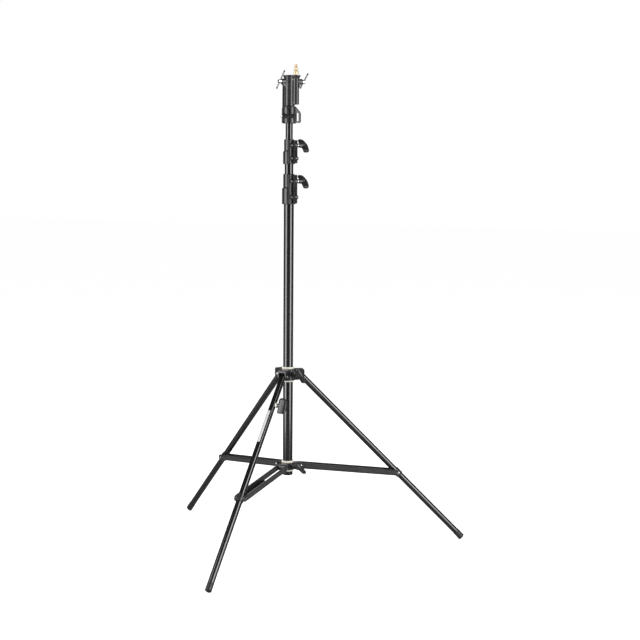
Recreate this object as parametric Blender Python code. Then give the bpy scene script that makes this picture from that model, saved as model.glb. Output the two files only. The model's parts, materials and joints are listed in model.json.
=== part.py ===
"""Heavy-duty lighting stand with two risers, a three-legged base and a double head.

Metres, +Z up. The origin is on the floor, under the middle of the stand's bounding box, and
the levelling leg points towards -Y. The stand is stored as it is used: legs spread, risers
nearly all the way down. Touching pieces keep a small running gap, GAP, to each other.
"""

from math import asin, cos, pi, radians, sin, sqrt

import bmesh
import bpy
from mathutils import Matrix, Vector

GAP = 0.0003
SHARP_ANGLE = radians(38)
WELD = 0.000001
LEG_SEGMENTS, HOLE_SEGMENTS = 16, 8

# Column: outer and inner radii of its three tubes, and heights above the floor
BASE_R, BASE_BORE = 0.0175, 0.0155
RISER_1_R, RISER_1_BORE = 0.0150, 0.0130
RISER_2_R, RISER_2_BORE = 0.0125, 0.0108
BASE_BOTTOM, BASE_TOP = 0.2683, 1.2785
RISER_1_BOTTOM, RISER_1_TOP = 0.3300, 1.4045
RISER_2_BOTTOM, RISER_2_TOP = 0.4200, 1.5515
HEAD_BOTTOM = 1.5015

# Clamping collars: heights, outer radii, bores and bolt heights
LOWER_COLLAR = {
    "bottom": 1.2205, "step": BASE_TOP, "top": 1.3265, "radii": (0.0240, 0.0200),
    "bores": (BASE_R + GAP, RISER_1_R + GAP), "knob_z": 1.3007, "pinch_z": 1.2456,
}
UPPER_COLLAR = {
    "bottom": 1.3605, "step": 1.4065, "top": 1.4465, "radii": (0.0210, 0.0175),
    "bores": (RISER_1_R + GAP, RISER_2_R + GAP), "knob_z": 1.4252, "pinch_z": 1.3804,
}
# In a collar's own frame the ears point along +X, and the screws run along Y into tapped ears
COLLAR_ANGLE, COLLAR_KNOB_TURN = radians(-36), radians(-48)
NEAR_EAR = {"reach": 0.0265, "side": -0.0120}
FAR_EAR = {"reach": 0.0350, "step": 0.0027, "step_reach": 0.0335, "side": 0.0170}
COLLAR_SLOT = (-0.0055, -0.0025)
CLAMP_BOLT_X, CLAMP_BOSS_R, CLAMP_BOSS_END = 0.0270, 0.0065, -0.0130
TAPPED_END, SCREW_END = -0.0115, -0.0110

# Legs and braces
LEG_ANGLES = {"levelling": -90.0, "right": 30.0, "left": 150.0}
LEG_SPREAD = radians(44.5)
PIVOT_R = 0.0450
LEG_R, LEG_BORE = 0.0110, 0.0093
LEG_LENGTH = 0.8500
LEG_TOP, LEG_END = 0.0080, -0.8380
FOOT_R, FOOT_CENTRE_Z = 0.0123, 0.0105
BRACE_JOIN = 0.5070
UPPER_HUB_Z = FOOT_CENTRE_Z + LEG_LENGTH * cos(LEG_SPREAD)
LOWER_HUB_Z = 0.2905
BAR_HALF_WIDTH, BAR_INNER_Y, BAR_OUTER_Y = 0.0100, 0.0150, 0.0190
PIN_R, PIN_HOLE_R, PIN_HEAD_R = 0.0030, 0.0033, 0.0050

# Hub castings
HUB_BORE, HUB_R = 0.0203, 0.0245
BUSH_R, BUSH_SKIRT_R = 0.0215, 0.0200
BUSH_FLANGES = {"bottom": 0.0045, "top": 0.0062}
HUB_KNOB_ANGLE = radians(-27)
HUB_KNOB_BASE, HUB_STUD_TIP = 0.0383, 0.0180
UPPER_KNOB = {"z": 0.0040, "turn": radians(36)}
LOWER_KNOB = {"z": -0.0010, "turn": radians(50)}

# Levelling leg: the outer tube is slotted, the inner one carries the foot and the knob
INNER_R, INNER_BORE = 0.0090, 0.0075
OUTER_LEG_END, INNER_TOP, INNER_END = -0.8260, -0.0600, -0.8397
LEVEL_KNOB_S, LEVEL_TRAVEL, LEVEL_SLOT_HALF = 0.1260, 0.2500, 0.0035

# Head: heights are counted from the bottom of the casting
SOCKET_R, SOCKET_BORE, SOCKET_FLOOR = 0.0180, 0.0143, 0.0820
HEAD_SLEEVE_R, HEAD_TOP = 0.0240, 0.1660
SPIGOT_X, SPIGOT_TUBE_R, SPIGOT_BORE = 0.0245, 0.0110, 0.0083
HEAD_CLAMP_ANGLE, HEAD_CLAMP_X, HEAD_CLAMP_Z = radians(-65), 0.0170, 0.0245
HEAD_CLAMP_Y, HEAD_SCREW_END, HEAD_SLOT_HALF = (-0.0250, 0.0185), 0.0155, 0.0012
T_SCREW_Z, T_ROD_R, T_HEAD_R, T_HEAD_LENGTH = 0.1440, 0.0050, 0.0065, 0.0114
T_BAR_R, T_BALL_R, T_BAR_HALF = 0.0023, 0.00325, 0.0385
SOCKET_T = {"angle": radians(231.5), "boss_end": 0.0320, "tip": 0.0146, "turn": radians(-45)}
SPIGOT_T = {"angle": radians(45), "boss_end": 0.0230, "tip": 0.0086, "turn": radians(56)}
SOCKET_BAR_SHIFT, SPIGOT_BAR_SHIFT = 0.008, 0.004

# Colour, metallic value and roughness of each finish
FINISHES = {
    "tube_black": ((0.012, 0.012, 0.013), 0.9, 0.28),
    "casting_black": ((0.030, 0.030, 0.032), 0.6, 0.45),
    "brace_black": ((0.035, 0.033, 0.034), 0.5, 0.48),
    "knob_plastic": ((0.022, 0.021, 0.020), 0.0, 0.42),
    "cap_plastic": ((0.010, 0.010, 0.010), 0.0, 0.38),
    "nylon_white": ((0.780, 0.770, 0.730), 0.0, 0.45),
    "foot_rubber": ((0.012, 0.012, 0.012), 0.0, 0.75),
    "fastener_steel": ((0.620, 0.620, 0.630), 1.0, 0.28),
    "chrome": ((0.800, 0.800, 0.810), 1.0, 0.10),
    "brass": ((0.780, 0.560, 0.260), 1.0, 0.24),
    "inner_steel": ((0.500, 0.500, 0.510), 1.0, 0.30),
}


def remove_everything():
    for old in list(bpy.data.objects):
        bpy.data.objects.remove(old, do_unlink=True)


def material(finish):
    """The Principled material of a finish, made once."""
    found = bpy.data.materials.get(finish)
    if found:
        return found
    colour, metallic, roughness = FINISHES[finish]
    made = bpy.data.materials.new(finish)
    made.use_nodes = True
    shader = made.node_tree.nodes["Principled BSDF"]
    shader.inputs["Base Color"].default_value = (*colour, 1.0)
    shader.inputs["Metallic"].default_value = metallic
    shader.inputs["Roughness"].default_value = roughness
    return made


def heading(angle, radius=1.0, z=0.0):
    """The point at a radius and an angle about the Z axis."""
    return Vector((radius * cos(angle), radius * sin(angle), z))


def aim(direction, lean=(0, 0, 1)):
    """A rotation whose Z runs along direction and whose X leans towards lean."""
    z_axis = Vector(direction).normalized()
    x_axis = Vector(lean) - z_axis * z_axis.dot(Vector(lean))
    x_axis.normalize()
    return Matrix((x_axis, z_axis.cross(x_axis), z_axis)).transposed().to_4x4()


def solid(shape):
    """Turn a closed bmesh into a mesh with its faces pointing out."""
    bmesh.ops.recalc_face_normals(shape, faces=shape.faces)
    mesh = bpy.data.meshes.new("solid")
    shape.to_mesh(mesh)
    shape.free()
    return mesh


def lathe(profile, segments=24):
    """Turn (radius, z) points about Z: a solid if they start on the axis, otherwise a ring."""
    shape = bmesh.new()
    turns = [2 * pi * i / segments for i in range(segments)]
    rings = []
    for radius, z in profile:
        angles = turns if radius > 0 else [0]
        rings.append([shape.verts.new(heading(turn, radius, z)) for turn in angles])
    following = rings[1:] if profile[0][0] == 0 else rings[1:] + rings[:1]
    for low, high in zip(rings, following):
        for i in range(segments):
            j = (i + 1) % segments
            corners = [low[i % len(low)], low[j % len(low)], high[j % len(high)], high[i % len(high)]]
            shape.faces.new(list(dict.fromkeys(corners)))
    return solid(shape)


def tube(radius, bore, low, high, segments=24):
    return lathe([(radius, low), (radius, high), (bore, high), (bore, low)], segments)


def loft(sections):
    """Join closed sections of equally many points, and close both ends."""
    shape = bmesh.new()
    loops = [[shape.verts.new(point) for point in section] for section in sections]
    count = len(loops[0])
    for low, high in zip(loops, loops[1:]):
        for i in range(count):
            j = (i + 1) % count
            shape.faces.new([low[i], low[j], high[j], high[i]])
    shape.faces.new(loops[0])
    shape.faces.new(loops[-1])
    return solid(shape)


def plate(outline, low_y, high_y):
    """Extrude an outline of (x, z) points along Y."""
    return loft([[(x, y, z) for x, z in outline] for y in (low_y, high_y)])


def block(low, high):
    """A box between two corners."""
    outline = [(low[0], low[2]), (high[0], low[2]), (high[0], high[2]), (low[0], high[2])]
    return plate(outline, low[1], high[1])


def moved(mesh, matrix):
    mesh.transform(matrix)
    return mesh


def rod(start, end, radius, segments=HOLE_SEGMENTS):
    """A round bar between two points."""
    run = Vector(end) - Vector(start)
    lean = (1, 0, 0) if abs(run.normalized().z) > 0.9 else (0, 0, 1)
    bar = lathe([(0, 0), (radius, 0), (radius, run.length), (0, run.length)], segments)
    return moved(bar, Matrix.Translation(start) @ aim(run, lean))


def combine(base, others, operation):
    """The mesh that Boolean steps with each of the others make of the base."""
    target = bpy.data.objects.new("target", base)
    helpers = [bpy.data.objects.new("helper", other) for other in others]
    for used in (target, *helpers):
        bpy.context.scene.collection.objects.link(used)
    for helper in helpers:
        step = target.modifiers.new("step", "BOOLEAN")
        step.operation = operation
        step.solver = "EXACT"
        step.object = helper
    evaluated = target.evaluated_get(bpy.context.evaluated_depsgraph_get())
    shape = bmesh.new()
    shape.from_mesh(evaluated.data)
    bmesh.ops.remove_doubles(shape, verts=shape.verts, dist=WELD)
    bmesh.ops.dissolve_degenerate(shape, edges=shape.edges, dist=WELD)
    for used in (target, *helpers):
        bpy.data.objects.remove(used)
    return solid(shape)


def union(base, *others):
    return combine(base, others, "UNION")


def cut(base, *others):
    return combine(base, others, "DIFFERENCE")


def place(thing, parent, location, rotation):
    thing.parent = parent
    thing.location = location
    thing.rotation_euler = rotation
    bpy.context.scene.collection.objects.link(thing)
    return thing


def part(name, mesh, finish, parent, location=(0, 0, 0), rotation=(0, 0, 0)):
    """One named piece of the stand."""
    mesh.materials.clear()
    mesh.materials.append(material(finish))
    mesh.shade_smooth()
    mesh.set_sharp_from_angle(angle=SHARP_ANGLE)
    return place(bpy.data.objects.new(name, mesh), parent, location, rotation)


def joint(name, parent, location=(0, 0, 0), rotation=(0, 0, 0)):
    """An empty on a joint's axis, which carries what moves there."""
    return place(bpy.data.objects.new(name, None), parent, location, rotation)


def wing_knob(blade_z, stud_length, half_span, half_width, half_depth, sweep):
    """A wing knob on its Z axis, its stud below z = 0. The wing at +X ends round, the other square."""
    hub_top = blade_z + 0.0013
    hub = lathe([(0, 0), (0.0075, 0), (0.0090, hub_top), (0, hub_top)], 14)
    stud = rod((0, 0, -stud_length), (0, 0, 0.004), PIN_R, 10)
    corners = [(0.5, 1), (1, 0.5), (1, -0.5), (0.5, -1), (-0.5, -1), (-1, -0.5), (-1, 0.5), (-0.5, 1)]
    sections = []
    stations = ((-1.0, 0.92), (-0.94, 1.0), (-0.55, 1.0), (0.05, 1.0), (0.6, 1.0), (0.88, 0.82), (1.0, 0.40))
    for along, size in stations:
        depth = size * half_depth * (1 - 0.33 * abs(along))
        width = size * half_width * (1 - 0.24 * abs(along))
        centre = blade_z - sweep * along ** 2
        sections.append([(along * half_span, depth * b, centre + width * a) for a, b in corners])
    return union(loft(sections), hub, stud)


def pin(half_length, head):
    """A headed pin along Y, as long as 2 * half_length between its heads."""
    side = [(0, -half_length - head), (PIN_HEAD_R, -half_length - head), (PIN_HEAD_R, -half_length),
            (PIN_R, -half_length)]
    profile = side + [(radius, -z) for radius, z in reversed(side)]
    return moved(lathe(profile, 10), aim((0, 1, 0)))


def cap_screw(start, end, x, z):
    """A dome-headed screw along Y, its head beyond start and its thread to end."""
    toward = 1 if end > start else -1
    head = [(0, -0.0050), (0.0042, -0.0040), (0.0065, -0.0010), (0.0065, 0), (PIN_R, 0)]
    shank = [(PIN_R, abs(end - start)), (0, abs(end - start))]
    bolt = lathe(head + shank, 10)
    return moved(bolt, Matrix.Translation((x, start, z)) @ aim((0, toward, 0)))


def base_column(column):
    """The lowest tube and the plug that closes it."""
    part("base_tube", tube(BASE_R, BASE_BORE, BASE_BOTTOM, BASE_TOP), "tube_black", column)
    flange_top = BASE_BOTTOM - GAP
    plug_r, flange_r = BASE_BORE - GAP, 0.0183
    profile = [(0, flange_top - 0.0125), (flange_r - 0.0015, flange_top - 0.0125),
               (flange_r, flange_top - 0.0110), (flange_r, flange_top),
               (plug_r, flange_top), (plug_r, flange_top + 0.0210), (0, flange_top + 0.0210)]
    part("base_tube_cap", lathe(profile), "cap_plastic", column)


def riser(number, parent, radius, bore, low, high):
    """A sliding tube with its guide bush, and the empty that carries them."""
    slide = joint(f"riser_{number}", parent)
    part(f"riser_{number}_tube", tube(radius, bore, low, high), "tube_black", slide)
    flange_r, plug_r = radius + 0.00025, bore - GAP
    top = low - GAP
    profile = [(0, top - 0.0040), (flange_r, top - 0.0040), (flange_r, top), (plug_r, top),
               (plug_r, top + 0.0180), (0, top + 0.0180)]
    part(f"riser_{number}_bush", lathe(profile), "nylon_white", slide)
    return slide


def collar(name, parent, sizes):
    """A split clamping collar with its pinch bolt and its wing knob. Its ears point along +X."""
    bottom, height = sizes["bottom"], sizes["top"] - sizes["bottom"]
    step = sizes["step"] - bottom
    (low_r, high_r), (low_bore, high_bore) = sizes["radii"], sizes["bores"]
    knob_z, pinch_z = sizes["knob_z"] - bottom, sizes["pinch_z"] - bottom
    place_at = {"location": (0, 0, bottom), "rotation": (0, 0, COLLAR_ANGLE)}
    edge = 0.0012
    body = lathe([(0, 0), (low_r - edge, 0), (low_r, edge), (low_r, step - 0.0025), (high_r, step + 0.0015),
                  (high_r, height - edge), (high_r - edge, height), (0, height)])
    inner, ear_low, ear_high = 0.0080, 0.0030, height - 0.0030
    near_ear = block((inner, NEAR_EAR["side"], ear_low), (NEAR_EAR["reach"], COLLAR_SLOT[1], ear_high))
    far_ear = block((inner, COLLAR_SLOT[0], ear_low), (FAR_EAR["reach"], FAR_EAR["step"], ear_high))
    far_pad = block((inner, 0, ear_low), (FAR_EAR["step_reach"], FAR_EAR["side"], ear_high))
    bosses = [rod((CLAMP_BOLT_X, CLAMP_BOSS_END, z), (CLAMP_BOLT_X, 0, z), CLAMP_BOSS_R, 12)
              for z in (knob_z, pinch_z)]
    holes = [rod((CLAMP_BOLT_X, TAPPED_END, z), (CLAMP_BOLT_X, 0.0200, z), PIN_HOLE_R)
             for z in (knob_z, pinch_z)]
    slot = block((inner, COLLAR_SLOT[0], -0.0010), (0.0400, COLLAR_SLOT[1], height + 0.0010))
    bore = lathe([(0, -0.0010), (low_bore, -0.0010), (low_bore, step + GAP), (high_bore, step + GAP),
                  (high_bore, height + 0.0010), (0, height + 0.0010)])
    casting = cut(union(body, near_ear, far_ear, far_pad, *bosses), bore, slot, *holes)
    part(name, casting, "casting_black", parent, **place_at)

    seat = FAR_EAR["side"] + GAP
    screw = cap_screw(seat, SCREW_END, CLAMP_BOLT_X, pinch_z)
    part(f"{name}_pinch_bolt", screw, "fastener_steel", parent, **place_at)

    spin = Matrix.Rotation(COLLAR_ANGLE, 4, "Z")
    seat_point = spin @ Vector((CLAMP_BOLT_X, seat, sizes["knob_z"]))
    sideways = spin @ aim((0, 1, 0)) @ Matrix.Rotation(COLLAR_KNOB_TURN, 4, "Z")
    knob = wing_knob(0.0275, seat - SCREW_END, 0.0315, 0.0110, 0.0070, 0.0050)
    part(f"{name}_knob", knob, "knob_plastic", parent, seat_point, sideways.to_euler())


def hub_bushes(name, hub, low, high, skirt):
    """The two nylon rings that guide a hub on the column; low and high are the casting's faces."""
    bore = BASE_R + GAP
    for side, face, way in (("bottom", low - GAP, 1), ("top", high + GAP, -1)):
        flange = BUSH_FLANGES[side]
        profile = [(bore, face - way * flange), (BUSH_R, face - way * flange), (BUSH_R, face),
                   (BUSH_SKIRT_R, face), (BUSH_SKIRT_R, face + way * skirt), (bore, face + way * skirt)]
        part(f"{name}_bush_{side}", lathe(profile, 20), "nylon_white", hub)


def hub_knob(name, hub, place_of):
    """A wing knob whose stud runs through the hub's wall to the column."""
    knob = wing_knob(0.0300, HUB_KNOB_BASE - HUB_STUD_TIP, 0.0315, 0.0110, 0.0070, 0.0045)
    turned = aim(heading(HUB_KNOB_ANGLE)) @ Matrix.Rotation(place_of["turn"], 4, "Z")
    at = heading(HUB_KNOB_ANGLE, HUB_KNOB_BASE, place_of["z"])
    part(f"{name}_knob", knob, "knob_plastic", hub, at, turned.to_euler())


def hub_casting(low, high, lug, pockets, lug_half_width, knob_z):
    """A sleeve round the column with three lugs, their pin holes, and a boss for the knob."""
    spins = [Matrix.Rotation(radians(angle), 4, "Z") for angle in LEG_ANGLES.values()]
    sleeve = lathe([(0, low), (HUB_R, low), (HUB_R, high), (0, high)])
    lugs = [moved(plate(lug, -lug_half_width, lug_half_width), spin) for spin in spins]
    inside, face, outside = (heading(HUB_KNOB_ANGLE, reach, knob_z) for reach in (0.0150, 0.0380, 0.0420))
    boss = rod(inside, face, 0.0088, 12)
    bore = rod((0, 0, low - 0.001), (0, 0, high + 0.001), HUB_BORE, 24)
    pin_holes = [moved(rod((PIVOT_R, -0.0200, 0), (PIVOT_R, 0.0200, 0), PIN_HOLE_R), spin) for spin in spins]
    rooms = [moved(pocket.copy(), spin) for spin in spins for pocket in pockets]
    knob_hole = rod(inside, outside, PIN_HOLE_R)
    half_segment = Matrix.Rotation(pi / 24, 4, "Z")
    return cut(union(sleeve, boss, *lugs), moved(bore, half_segment), knob_hole, *rooms, *pin_holes)


def upper_hub(column):
    """The hub that the legs hinge on."""
    hub = joint("upper_hub_slide", column, (0, 0, UPPER_HUB_Z))
    low, high, pocket_y = -0.0185, 0.0225, 0.0118
    lug = [(0.0050, 0.0220), (0.0530, 0.0220), (0.0570, 0.0185), (0.0570, -0.0060),
           (0.0500, -0.0160), (0.0050, -0.0180)]
    pocket = plate([(0.0248, -0.0250), (0.0248, 0.0168), (0.0510, 0.0168), (0.0510, 0.0130),
                    (0.0600, 0.0130), (0.0600, -0.0250)], -pocket_y, pocket_y)
    casting = hub_casting(low, high, lug, [pocket], 0.0163, UPPER_KNOB["z"])
    part("upper_hub", casting, "casting_black", hub)
    hub_bushes("upper_hub", hub, low, high, 0.0080)
    hub_knob("upper_hub", hub, UPPER_KNOB)
    pins = pin(0.0163 + GAP, 0.0018)
    for leg, angle in LEG_ANGLES.items():
        at = heading(radians(angle), PIVOT_R)
        part(f"{leg}_leg_hinge_pin", pins, "fastener_steel", hub, at, (0, 0, radians(angle)))
    return hub


def lower_hub(upper):
    """The hub that the braces hinge on: its lugs are tongues between the brace bars."""
    hub = joint("lower_hub_slide", upper, (0, 0, LOWER_HUB_Z - UPPER_HUB_Z))
    low, high, tip_r = -0.0145, 0.0115, 0.0108
    arc = [(PIVOT_R + tip_r * cos(t), tip_r * sin(t)) for t in (radians(-90 + 36 * i) for i in range(6))]
    lug = [(0.0050, -tip_r), *arc, (0.0050, tip_r)]
    part("lower_hub", hub_casting(low, high, lug, [], 0.0146, LOWER_KNOB["z"]), "casting_black", hub)
    hub_bushes("lower_hub", hub, low, high, 0.0050)
    hub_knob("lower_hub", hub, LOWER_KNOB)
    pins = pin(BAR_OUTER_Y + GAP, 0.0013)
    for leg, angle in LEG_ANGLES.items():
        at = heading(radians(angle), PIVOT_R)
        part(f"{leg}_brace_inner_pin", pins, "fastener_steel", hub, at, (0, 0, radians(angle)))
    return hub


def foot(cup_start, cup_floor, radius, bore, hinge_to_floor):
    """A rubber foot on the end of a tube, cut flat where it stands."""
    steps = [radians(72 - 24 * i) for i in range(4)]
    ball = [(radius * cos(t), -LEG_LENGTH - radius * sin(t)) for t in steps]
    profile = [(0, -LEG_LENGTH - radius), *ball, (radius, -cup_start), (bore, -cup_start),
               (bore, -cup_floor), (0, -cup_floor)]
    ground = block((0.4, -0.1, -0.1), (0.9, 0.1, 0))
    return cut(lathe(profile, LEG_SEGMENTS), moved(ground, hinge_to_floor))


def leg(name, hub, angle, floor):
    """A leg on its hinge: tube along local -Z, brace bracket and, on a plain leg, the foot."""
    hinge = joint(f"{name}_leg_hinge", hub, heading(angle, PIVOT_R), (0, -LEG_SPREAD, angle))
    levelling = name == "levelling"
    pin_hole = rod((0, -0.0200, 0), (0, 0.0200, 0), PIN_HOLE_R)
    cutters = [pin_hole]
    if levelling:
        reach = LEVEL_KNOB_S + LEVEL_TRAVEL + 0.0055
        start = LEVEL_KNOB_S - 0.0055
        cutters.append(block((-LEVEL_SLOT_HALF, 0.0050, -reach), (LEVEL_SLOT_HALF, 0.0150, -start)))
    end = OUTER_LEG_END if levelling else LEG_END
    outer = tube(LEG_R, LEG_BORE, end, LEG_TOP, LEG_SEGMENTS)
    part(f"{name}_leg_tube", cut(outer, *cutters), "tube_black", hinge)

    sleeve = rod((0, 0, -BRACE_JOIN - 0.0130), (0, 0, -BRACE_JOIN + 0.0130), 0.0135, LEG_SEGMENTS)
    boss = rod((0, -0.0146, -BRACE_JOIN), (0, 0.0146, -BRACE_JOIN), 0.0090, 12)
    bore = rod((0, 0, -BRACE_JOIN - 0.0200), (0, 0, -BRACE_JOIN + 0.0200), LEG_R + GAP, LEG_SEGMENTS)
    rivet_hole = rod((0, -0.0200, -BRACE_JOIN), (0, 0.0200, -BRACE_JOIN), PIN_HOLE_R)
    bracket = cut(union(sleeve, boss), bore, rivet_hole)
    part(f"{name}_leg_brace_bracket", bracket, "casting_black", hinge)
    if levelling:
        levelling_foot(hinge, floor)
    else:
        shoe = foot(0.8220, -LEG_END + GAP, FOOT_R, LEG_R + GAP, floor)
        part(f"{name}_foot", shoe, "foot_rubber", hinge)


def levelling_foot(hinge, floor):
    """The tube that slides in the levelling leg, with its foot, and the knob that locks it."""
    slide = joint("levelling_slide", hinge)
    knob_hole = rod((0, 0.0040, -LEVEL_KNOB_S), (0, 0.0150, -LEVEL_KNOB_S), PIN_HOLE_R)
    inner = cut(tube(INNER_R, INNER_BORE, INNER_END, INNER_TOP, LEG_SEGMENTS), knob_hole)
    part("levelling_inner_tube", inner, "inner_steel", slide)
    shoe = foot(-OUTER_LEG_END + GAP, -INNER_END + GAP, FOOT_R - 0.0003, INNER_R + GAP, floor)
    part("levelling_foot", shoe, "foot_rubber", slide)
    seat = 0.0144
    washer = moved(tube(0.0095, PIN_HOLE_R, LEG_R + GAP, seat - GAP, 12), aim((0, 1, 0)))
    part("levelling_washer", washer, "nylon_white", slide, (0, 0, -LEVEL_KNOB_S))
    knob = wing_knob(0.0218, seat - 0.0065, 0.0275, 0.0145, 0.0080, 0.0030)
    turned = aim((0, 1, 0)) @ Matrix.Rotation(radians(22), 4, "Z")
    part("levelling_knob", knob, "knob_plastic", slide, (0, seat, -LEVEL_KNOB_S), turned.to_euler())


def brace(name, hub, angle):
    """A pair of flat bars from the lower hub to a leg, with the rivets in their outer ends."""
    outer = Vector((PIVOT_R + BRACE_JOIN * sin(LEG_SPREAD), 0, UPPER_HUB_Z - BRACE_JOIN * cos(LEG_SPREAD)))
    run = outer - Vector((PIVOT_R, 0, LOWER_HUB_Z))
    length = run.length
    hinge = joint(f"{name}_brace_hinge", hub, heading(angle, PIVOT_R), (0, asin(-run.z / length), angle))
    ends = [radians(-90 + 30 * i) for i in range(7)]
    outline = [(length + BAR_HALF_WIDTH * cos(t), BAR_HALF_WIDTH * sin(t)) for t in ends]
    outline += [(-BAR_HALF_WIDTH * cos(t), -BAR_HALF_WIDTH * sin(t)) for t in ends]
    holes = [rod((x, -0.0300, 0), (x, 0.0300, 0), PIN_HOLE_R) for x in (0, length)]
    head_low, head_high, shank_end = BAR_OUTER_Y + GAP, 0.0206, 0.0151
    rivet_profile = [(0, shank_end), (PIN_R, shank_end), (PIN_R, head_low), (PIN_HEAD_R, head_low),
                     (PIN_HEAD_R, head_high), (0, head_high)]
    for side, way in (("a", 1), ("b", -1)):
        edges = sorted((way * BAR_INNER_Y, way * BAR_OUTER_Y))
        bar = cut(plate(outline, *edges), *holes)
        part(f"{name}_brace_bar_{side}", bar, "brace_black", hinge)
        rivet = moved(lathe(rivet_profile, 10), aim((0, way, 0)))
        part(f"{name}_brace_rivet_{side}", rivet, "fastener_steel", hinge, (length, 0, 0))


def t_screw_boss(sizes, wall):
    """The round boss that a T-handled screw runs in, on a gusset, along local X."""
    end, z = sizes["boss_end"], T_SCREW_Z
    boss = rod((wall - 0.0040, 0, z), (end, 0, z), 0.0095, 12)
    gusset = plate([(wall - 0.0040, z), (end - 0.0010, z), (end - 0.0010, z - 0.0070),
                    (wall - 0.0040, z - 0.0260)], -0.0060, 0.0060)
    return union(boss, gusset)


def head_casting(riser_2):
    """Socket tube, spigot tube, riser clamp and cable loop in one casting."""
    clamp_spin = Matrix.Rotation(HEAD_CLAMP_ANGLE, 4, "Z")
    spigot_shift = Matrix.Translation((SPIGOT_X, 0, 0))
    body = lathe([(0, 0), (HEAD_SLEEVE_R, 0), (HEAD_SLEEVE_R, 0.0530), (0.0255, 0.0545),
                  (0.0255, 0.0580), (SOCKET_R, 0.0600), (SOCKET_R, 0.1520), (0.0220, 0.1640),
                  (0.0220, HEAD_TOP), (0, HEAD_TOP)], 24)
    spigot_tube = lathe([(0, 0.0650), (SPIGOT_TUBE_R, 0.0650), (SPIGOT_TUBE_R, 0.1530), (0.0165, 0.1636),
                         (0.0165, HEAD_TOP - 0.0004), (0, HEAD_TOP - 0.0004)], 16)
    web = block((0.0080, -0.0055, 0.0620), (0.0200, 0.0055, 0.1560))
    rib_spin = Matrix.Rotation(radians(193), 4, "Z")
    rib = moved(block((0.0150, -0.0040, 0.0020), (0.0262, 0.0040, 0.0520)), rib_spin)
    socket_boss = moved(t_screw_boss(SOCKET_T, SOCKET_R), Matrix.Rotation(SOCKET_T["angle"], 4, "Z"))
    spigot_boss = moved(t_screw_boss(SPIGOT_T, SPIGOT_TUBE_R),
                        spigot_shift @ Matrix.Rotation(SPIGOT_T["angle"], 4, "Z"))
    loop = plate([(0.0180, 0.0015), (0.0400, 0.0015), (0.0430, 0.0045), (0.0430, 0.0370), (0.0262, 0.0565),
                  (0.0180, 0.0565)], -0.0030, 0.0030)
    boss_ends = [(HEAD_CLAMP_X, y, HEAD_CLAMP_Z) for y in HEAD_CLAMP_Y]
    clamp_boss = moved(rod(*boss_ends, 0.0085, 12), clamp_spin)
    spigot_tube = moved(spigot_tube, spigot_shift)
    outer = union(body, spigot_tube, web, rib, socket_boss, spigot_boss, loop, clamp_boss)

    above, below = HEAD_TOP + 0.0010, -0.0010
    socket_bore = rod((0, 0, SOCKET_FLOOR), (0, 0, above), SOCKET_BORE, 24)
    riser_bore = rod((0, 0, below), (0, 0, RISER_2_TOP - HEAD_BOTTOM + GAP), RISER_2_R + GAP, 24)
    spigot_bore = rod((SPIGOT_X, 0, 0.0600), (SPIGOT_X, 0, above), SPIGOT_BORE, 16)
    eye_outline = [(0.0275, 0.0080), (0.0360, 0.0080), (0.0360, 0.0335), (0.0275, 0.0375)]
    loop_eye = plate(eye_outline, -0.0050, 0.0050)
    hole_ends = [(HEAD_CLAMP_X, y, HEAD_CLAMP_Z) for y in (-0.0300, HEAD_SCREW_END + 0.0005)]
    clamp_hole = moved(rod(*hole_ends, PIN_HOLE_R), clamp_spin)
    clamp_slot = moved(block((0.0080, -HEAD_SLOT_HALF, below), (0.0300, HEAD_SLOT_HALF, 0.0495)), clamp_spin)
    t_holes = [moved(rod((0.0020, 0, T_SCREW_Z), (0.0400, 0, T_SCREW_Z), T_ROD_R + GAP, 12),
                     shift @ Matrix.Rotation(sizes["angle"], 4, "Z"))
               for sizes, shift in ((SOCKET_T, Matrix.Identity(4)), (SPIGOT_T, spigot_shift))]
    casting = cut(outer, socket_bore, riser_bore, spigot_bore, loop_eye, clamp_hole, clamp_slot, *t_holes)
    at = {"location": (0, 0, HEAD_BOTTOM)}
    part("head_casting", casting, "casting_black", riser_2, **at)

    turned = {"location": (0, 0, HEAD_BOTTOM), "rotation": (0, 0, HEAD_CLAMP_ANGLE)}
    screw = cap_screw(HEAD_CLAMP_Y[0] - GAP, HEAD_SCREW_END, HEAD_CLAMP_X, HEAD_CLAMP_Z)
    part("head_pinch_bolt", screw, "fastener_steel", riser_2, **turned)


def t_handle(name, riser_2, sizes, origin, shift):
    """A locking screw with a loose cross bar, on the screw's own axis along local Z."""
    head_start = sizes["boss_end"] + GAP
    bar_z = head_start + T_HEAD_LENGTH / 2
    frame = aim(heading(sizes["angle"])) @ Matrix.Rotation(sizes["turn"], 4, "Z")
    hinge = joint(f"{name}_screw_axis", riser_2, origin, frame.to_euler())
    screw = lathe([(0, sizes["tip"]), (T_ROD_R, sizes["tip"]), (T_ROD_R, head_start), (T_HEAD_R, head_start),
                   (T_HEAD_R, head_start + T_HEAD_LENGTH), (0, head_start + T_HEAD_LENGTH)], 12)
    cross_hole = rod((-0.0100, 0, bar_z), (0.0100, 0, bar_z), T_BAR_R + GAP)
    part(f"{name}_screw", cut(screw, cross_hole), "chrome", hinge)

    neck = sqrt(T_BALL_R ** 2 - T_BAR_R ** 2)
    ball = [(T_BALL_R * cos(t), T_BALL_R * sin(t)) for t in (radians(-12 + 34 * i) for i in range(3))]
    side = [(T_BAR_R, T_BAR_HALF - neck), *[(r, T_BAR_HALF + z) for r, z in ball], (0, T_BAR_HALF + T_BALL_R)]
    profile = [(r, -z) for r, z in reversed(side)] + side
    bar = moved(lathe(profile, HOLE_SEGMENTS), aim((1, 0, 0)))
    part(f"{name}_bar", bar, "chrome", hinge, (shift, 0, bar_z))


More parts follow.
